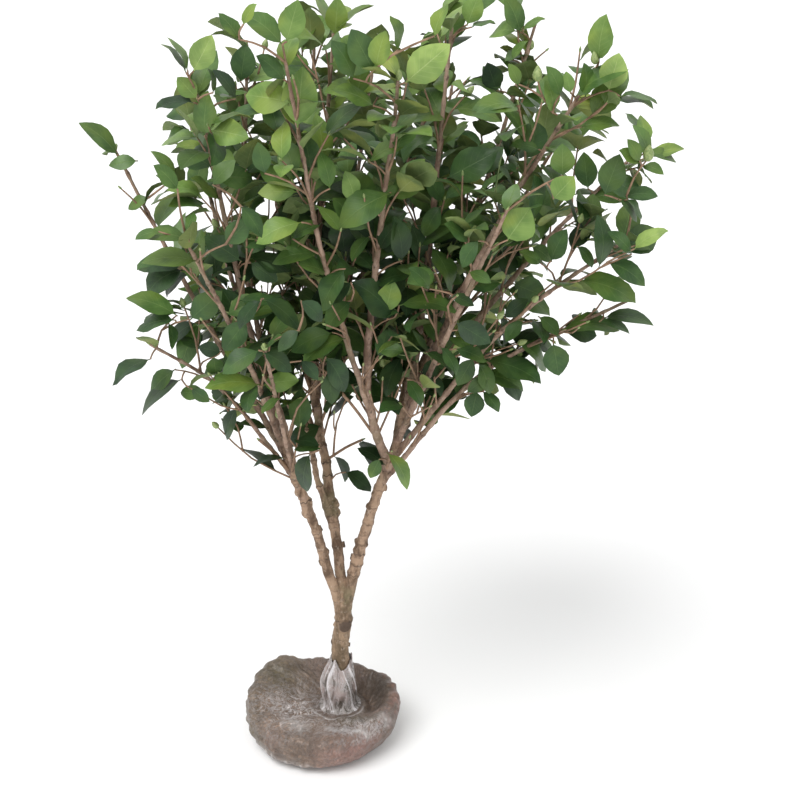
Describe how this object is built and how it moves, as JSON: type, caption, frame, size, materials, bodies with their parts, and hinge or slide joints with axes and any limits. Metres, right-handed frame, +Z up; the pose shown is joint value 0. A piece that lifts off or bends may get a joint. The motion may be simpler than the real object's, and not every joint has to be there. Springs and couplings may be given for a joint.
{
  "type": "camellia shrub with root ball",
  "caption": "Camellia shrub with slim stems parting from a short trunk, a wide open crown of oval leaves, and a root ball wrapped in clear film.",
  "frame": {"origin": "centre of the root ball's flat underside", "axes": "+Z up along the trunk, -Y towards the side that the plant is usually seen from, +X to the right as seen from there"},
  "size_m": [0.8401, 0.8262, 1.2145],
  "materials": {
    "wrapped_soil": "moist reddish brown soil under wrinkled clear film",
    "clear_film": "gathered clear stretch film, glossy and creased",
    "bark": "smooth tan grey bark with small knots",
    "foliage": "leathery dark green leaves, glossy above and paler beneath"
  },
  "bodies": {
    "root": {"root_ball": "wrapped_soil", "film_collar": "clear_film", "trunk": "bark", "stem_mid": "bark", "stem_left": "bark", "stem_right": "bark", "bough_centre_right": "bark", "bough_front_long": "bark", "bough_far_left": "bark", "bough_low_left": "bark", "bough_left_top": "bark", "bough_front_left": "bark", "bough_left_back": "bark", "bough_back_left": "bark", "bough_back": "bark", "bough_low_back_left": "bark", "bough_top_back": "bark", "bough_top": "bark", "bough_right_upper": "bark", "bough_right_front": "bark", "bough_right_side": "bark", "bough_low_right": "bark", "bough_right_outer": "bark", "bough_right_top": "bark", "bough_right_back": "bark", "bough_back_right": "bark", "bough_low_back_right": "bark", "bough_front_low": "bark", "foliage_mid": "foliage", "foliage_left": "foliage", "foliage_right": "foliage", "foliage_centre_right": "foliage", "foliage_front_long": "foliage", "foliage_far_left": "foliage", "foliage_low_left": "foliage", "foliage_left_top": "foliage", "foliage_front_left": "foliage", "foliage_left_back": "foliage", "foliage_back_left": "foliage", "foliage_back": "foliage", "foliage_low_back_left": "foliage", "foliage_top_back": "foliage", "foliage_top": "foliage", "foliage_right_upper": "foliage", "foliage_right_front": "foliage", "foliage_right_side": "foliage", "foliage_low_right": "foliage", "foliage_right_outer": "foliage", "foliage_right_top": "foliage", "foliage_right_back": "foliage", "foliage_back_right": "foliage", "foliage_low_back_right": "foliage", "foliage_front_low": "foliage", "foliage_spur_left": "foliage", "foliage_spur_mid": "foliage", "foliage_spur_right": "foliage", "foliage_spur_front": "foliage", "foliage_spur_between": "foliage", "foliage_spur_back": "foliage"}
  },
  "joints": []
}
